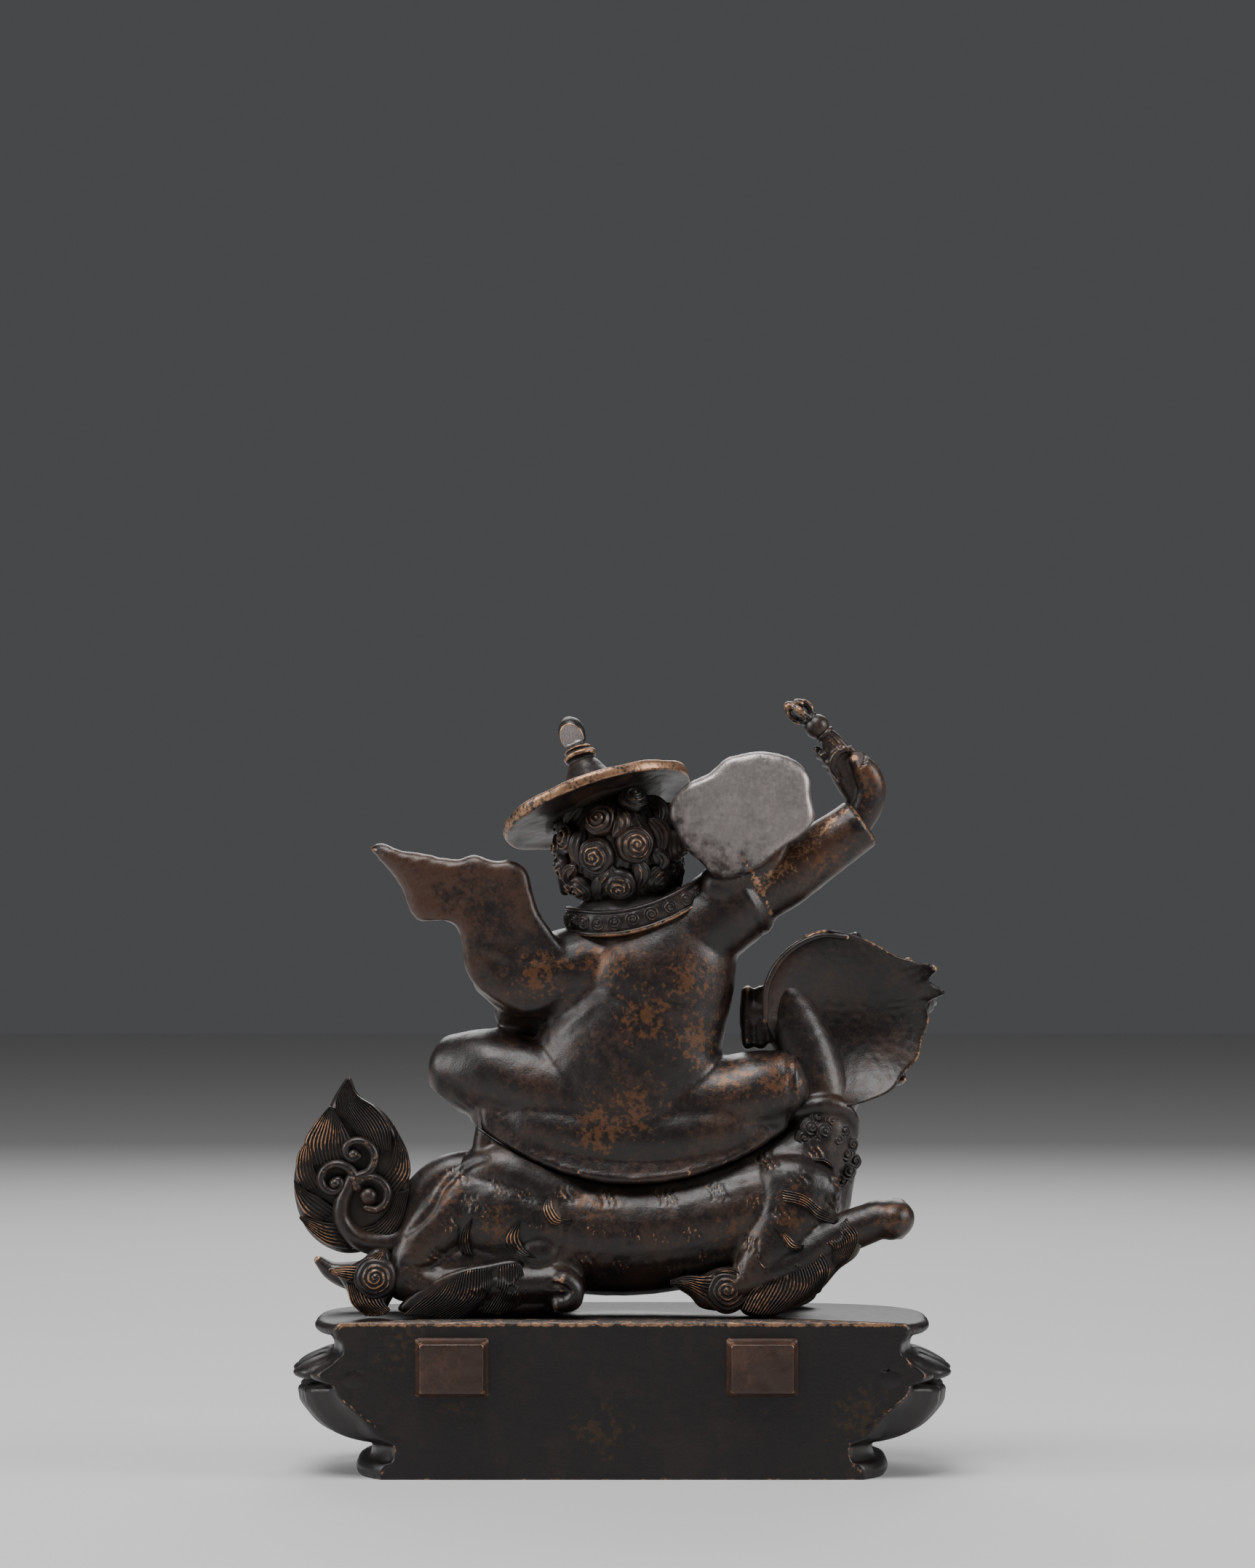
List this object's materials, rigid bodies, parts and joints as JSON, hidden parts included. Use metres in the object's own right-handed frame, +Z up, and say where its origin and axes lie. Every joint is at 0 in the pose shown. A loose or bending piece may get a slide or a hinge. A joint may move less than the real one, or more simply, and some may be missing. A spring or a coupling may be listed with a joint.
{
  "type": "protector deity statue",
  "caption": "Small bronze statue of a broad-hatted protector deity, one arm raised with a thunderbolt sceptre, seated across a crouching snow lion on a lotus plinth with a flat back.",
  "frame": {"origin": "middle of the plinth's underside, 36 mm in front of the flat back", "axes": "+Z up, the figure and the lotus front face -Y, the flat back with its two lugs faces +Y, +X is the rider's left, towards the lion's tail"},
  "size_m": [0.1685, 0.0786, 0.198],
  "materials": {
    "plinth_bronze": "near-black patinated bronze, soft sheen, copper-coloured wear on edges and lugs",
    "lion_bronze": "dark brown patinated bronze, burnished on the tufts and paws",
    "rider_bronze": "dark brown patinated bronze with reddish and golden wear on the back, hems and brim"
  },
  "bodies": {
    "root": {"lotus_plinth": "plinth_bronze", "snow_lion": "lion_bronze", "rider": "rider_bronze"}
  },
  "joints": []
}
